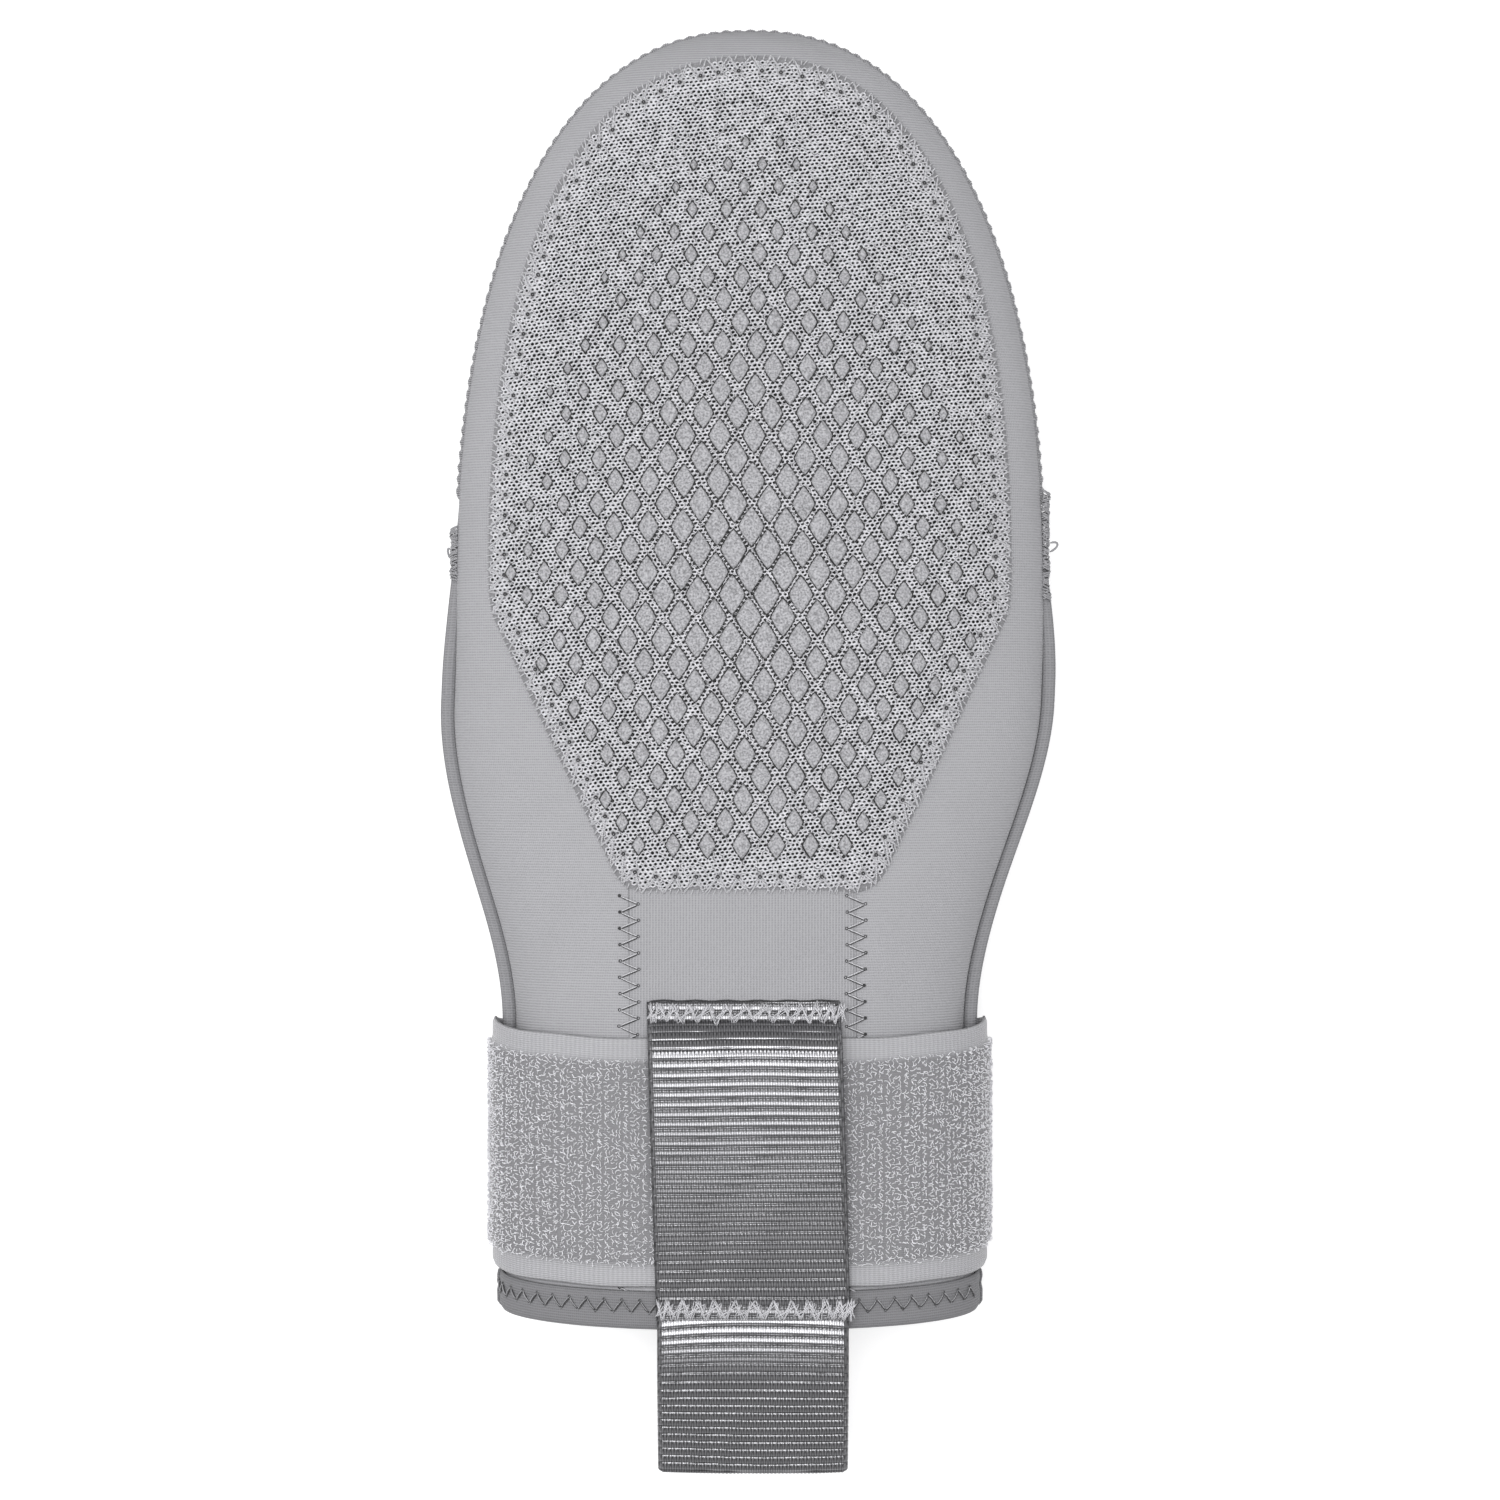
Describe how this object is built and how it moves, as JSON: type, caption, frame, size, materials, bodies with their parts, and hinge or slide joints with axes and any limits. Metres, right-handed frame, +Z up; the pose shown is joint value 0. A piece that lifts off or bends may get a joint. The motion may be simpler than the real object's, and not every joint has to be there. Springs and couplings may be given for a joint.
{
  "type": "sliding mitt",
  "caption": "Padded sliding mitt that guards the hand and wrist, with stiff plates behind quilted foam pads, an elastic wrist strap and a webbing pull tab.",
  "frame": {"origin": "on the lower face of the back pad, which the mitt lies on, below the middle of the whole mitt", "axes": "+X across the mitt, +Y towards the fingertips, +Z up through the front pad"},
  "size_m": [0.1267, 0.2971, 0.0429],
  "materials": {
    "front_jersey": "nylon jersey on neoprene, light grey",
    "back_jersey": "nylon jersey on neoprene, grey",
    "inset_jersey": "nylon jersey with a lengthwise rib, light grey",
    "lining": "brushed knit lining",
    "plate": "stiff polyethylene sheet",
    "foam": "closed-cell foam",
    "pad_mesh": "knit mesh with raised suede diamonds, grey",
    "thread": "bonded nylon thread, light grey",
    "overlock_thread": "overlock thread, grey",
    "hem": "turned jersey hem, grey",
    "loop_pile": "elastic with a brushed loop face, grey",
    "webbing": "ribbed nylon webbing with a sheen, grey",
    "hook": "moulded hook fastener, dark grey"
  },
  "bodies": {
    "root": {"front_shell": "front_jersey", "back_shell": "back_jersey", "front_lining": "lining", "back_lining": "lining", "front_plate": "plate", "back_plate": "plate", "front_foam": "foam", "back_foam": "foam", "front_cover": "pad_mesh", "back_cover": "pad_mesh", "front_cover_stitch": "thread", "back_cover_stitch": "thread", "centre_inset": "inset_jersey", "inset_stitches": "thread", "front_hem": "hem", "back_hem": "hem", "front_hem_stitch": "thread", "back_hem_stitch": "thread", "edge_overlock": "overlock_thread", "left_tack": "overlock_thread", "right_tack": "overlock_thread", "strap_band": "loop_pile", "strap_anchor_stitch": "thread", "strap_keeper": "webbing", "keeper_top_tack": "thread", "keeper_bottom_tack": "thread"},
    "strap_side": {"strap_side": "loop_pile"},
    "strap_tail": {"strap_tail": "loop_pile", "hook_patch": "hook", "hook_patch_stitch": "thread"},
    "pull_tab": {"pull_tab": "webbing"}
  },
  "joints": [
    {"name": "strap_unwrap", "type": "hinge", "parent": "root", "child": "strap_side", "pos_m": [0.03409, -0.0815, 0.03666], "axis": [0, -1, 0], "range_deg": [0, 50]},
    {"name": "strap_peel", "type": "hinge", "parent": "strap_side", "child": "strap_tail", "pos_m": [0.03881, -0.0815, 0.00265], "axis": [0, -1, 0], "range_deg": [0, 115]},
    {"name": "pull_tab_flip", "type": "hinge", "parent": "root", "child": "pull_tab", "pos_m": [0, -0.1154, 0.0414], "axis": [-1, 0, 0], "range_deg": [-15, 140]}
  ],
  "couplings": [
    {"joint": "strap_peel", "follows": "strap_unwrap", "ratio": 2.3}
  ]
}
